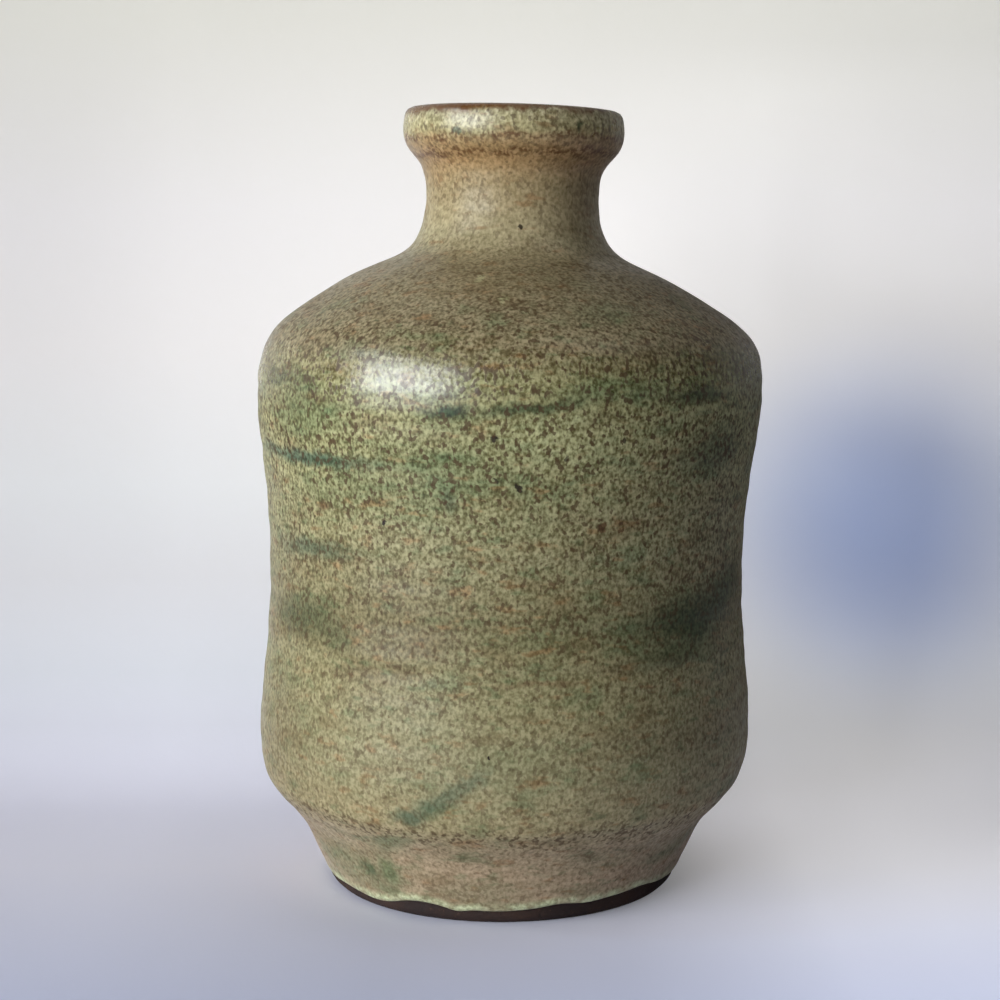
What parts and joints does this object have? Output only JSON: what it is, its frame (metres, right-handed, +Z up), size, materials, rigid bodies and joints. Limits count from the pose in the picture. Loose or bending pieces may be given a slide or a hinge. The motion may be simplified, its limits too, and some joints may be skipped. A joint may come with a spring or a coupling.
{
  "type": "sake bottle",
  "caption": "Squat stoneware sake bottle: collared rim, narrow neck, sloping shoulder, slightly waisted body and tapered foot, under a speckled grey-green glaze.",
  "frame": {"origin": "centre of the foot ring, on the table surface the bottle stands on", "axes": "+Z up along the bottle's own axis, out of the mouth; the bottle is round, so +X and +Y are free, and the visible side is -Y"},
  "size_m": [0.0882, 0.0882, 0.135],
  "materials": {
    "clay": "matte, unglazed iron-rich stoneware",
    "outer_glaze": "satin-gloss ash glaze, speckled with iron",
    "inner_glaze": "satin-gloss ash glaze, speckled with iron"
  },
  "bodies": {
    "root": {"clay_body": "clay", "outer_glaze": "outer_glaze", "inner_glaze": "inner_glaze"}
  },
  "joints": []
}
